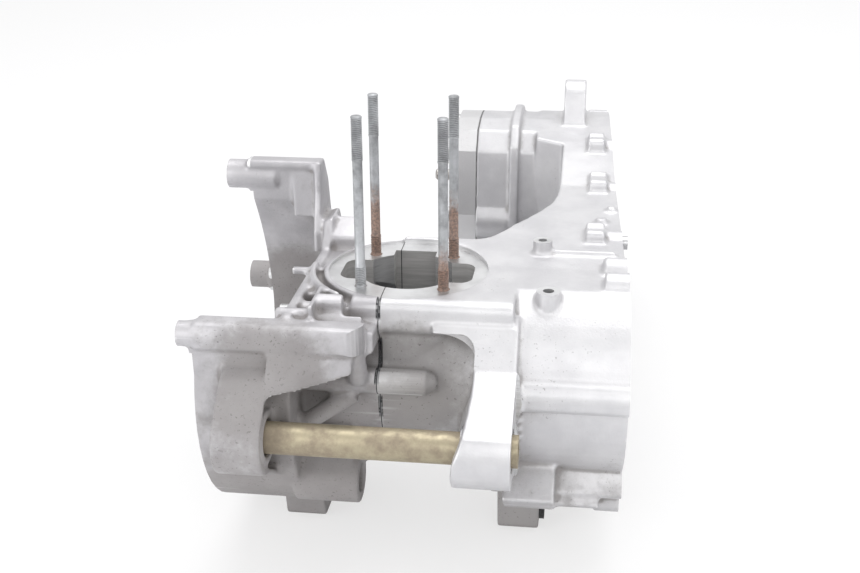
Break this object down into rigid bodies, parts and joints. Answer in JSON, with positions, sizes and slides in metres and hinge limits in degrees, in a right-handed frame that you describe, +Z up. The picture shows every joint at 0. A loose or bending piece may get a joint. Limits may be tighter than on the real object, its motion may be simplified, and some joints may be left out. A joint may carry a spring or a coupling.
{
  "type": "two-stroke scooter crankcase",
  "caption": "Two-part cast crankcase with a cylinder seat and studs, an open belt case, a fan housing, a hanger sleeve and a final-drive housing.",
  "frame": {"origin": "where the crank axis meets the cylinder axis", "axes": "+X across the engine towards the belt side, along the crank axis; +Y towards the rear wheel; +Z up along the cylinder axis"},
  "size_m": [0.2412, 0.4325, 0.249],
  "materials": {
    "cast_left": "die-cast, matt, slightly pitted",
    "cast_right": "die-cast, matt, stained",
    "cast_cover": "die-cast, matt",
    "gasket": "gasket card with dark sealant",
    "dowel": "turned",
    "screw": "zinc-plated",
    "stud": "zinc-grey, rusty at the foot",
    "sleeve": "yellow zinc, dirty",
    "bush": "plain",
    "dark_bush": "matt",
    "pin": "turned",
    "bronze": "sintered",
    "copper": "annealed",
    "seal": "matt",
    "bearing_steel": "ground"
  },
  "bodies": {
    "case": {"left_case": "cast_left", "right_case": "cast_right", "centre_gasket": "gasket", "centre_dowels": "dowel", "case_screws": "screw", "cylinder_studs": "stud", "left_hanger_bush": "bush", "right_hanger_bush": "bush", "left_bearing_outer": "bearing_steel", "left_crank_seal": "seal", "right_bearing_outer": "bearing_steel", "right_crank_seal": "seal", "gearbox_cover": "cast_cover", "gearbox_gasket": "gasket", "gearbox_dowels": "dowel", "gearbox_screws": "screw", "brake_anchor_pin": "pin", "clutch_shaft_bearing": "bearing_steel", "clutch_shaft_seal": "seal", "axle_bearing": "bearing_steel", "axle_seal": "seal", "shaft_bushes": "bronze", "drain_plug": "screw", "drain_washer": "copper", "breather_pipe": "dowel", "stand_bushes": "dark_bush", "cover_dowels": "dowel"},
    "sleeve": {"hanger_sleeve": "sleeve"},
    "left_race": {"left_bearing_inner": "bearing_steel"},
    "left_ball_row": {"left_bearing_balls": "bearing_steel"},
    "right_race": {"right_bearing_inner": "bearing_steel"},
    "right_ball_row": {"right_bearing_balls": "bearing_steel"},
    "clutch_race": {"clutch_shaft_race": "bearing_steel"},
    "wheel_race": {"axle_race": "bearing_steel"}
  },
  "joints": [
    {"name": "sleeve_turn", "type": "hinge", "parent": "case", "child": "sleeve", "pos_m": [0, -0.088, -0.0072], "axis": [1, 0, 0], "continuous": true},
    {"name": "left_race_turn", "type": "hinge", "parent": "case", "child": "left_race", "pos_m": [0.029, 0, 0], "axis": [1, 0, 0], "continuous": true},
    {"name": "left_ball_turn", "type": "hinge", "parent": "case", "child": "left_ball_row", "pos_m": [0.029, 0, 0], "axis": [1, 0, 0], "continuous": true},
    {"name": "right_race_turn", "type": "hinge", "parent": "case", "child": "right_race", "pos_m": [-0.029, 0, 0], "axis": [1, 0, 0], "continuous": true},
    {"name": "right_ball_turn", "type": "hinge", "parent": "case", "child": "right_ball_row", "pos_m": [-0.029, 0, 0], "axis": [1, 0, 0], "continuous": true},
    {"name": "clutch_race_turn", "type": "hinge", "parent": "case", "child": "clutch_race", "pos_m": [0.052, 0.25, 0.018], "axis": [1, 0, 0], "continuous": true},
    {"name": "wheel_race_turn", "type": "hinge", "parent": "case", "child": "wheel_race", "pos_m": [0.006, 0.272, -0.018], "axis": [1, 0, 0], "continuous": true}
  ],
  "couplings": [
    {"joint": "left_ball_turn", "follows": "left_race_turn", "ratio": 0.3815},
    {"joint": "right_ball_turn", "follows": "right_race_turn", "ratio": 0.3815}
  ]
}
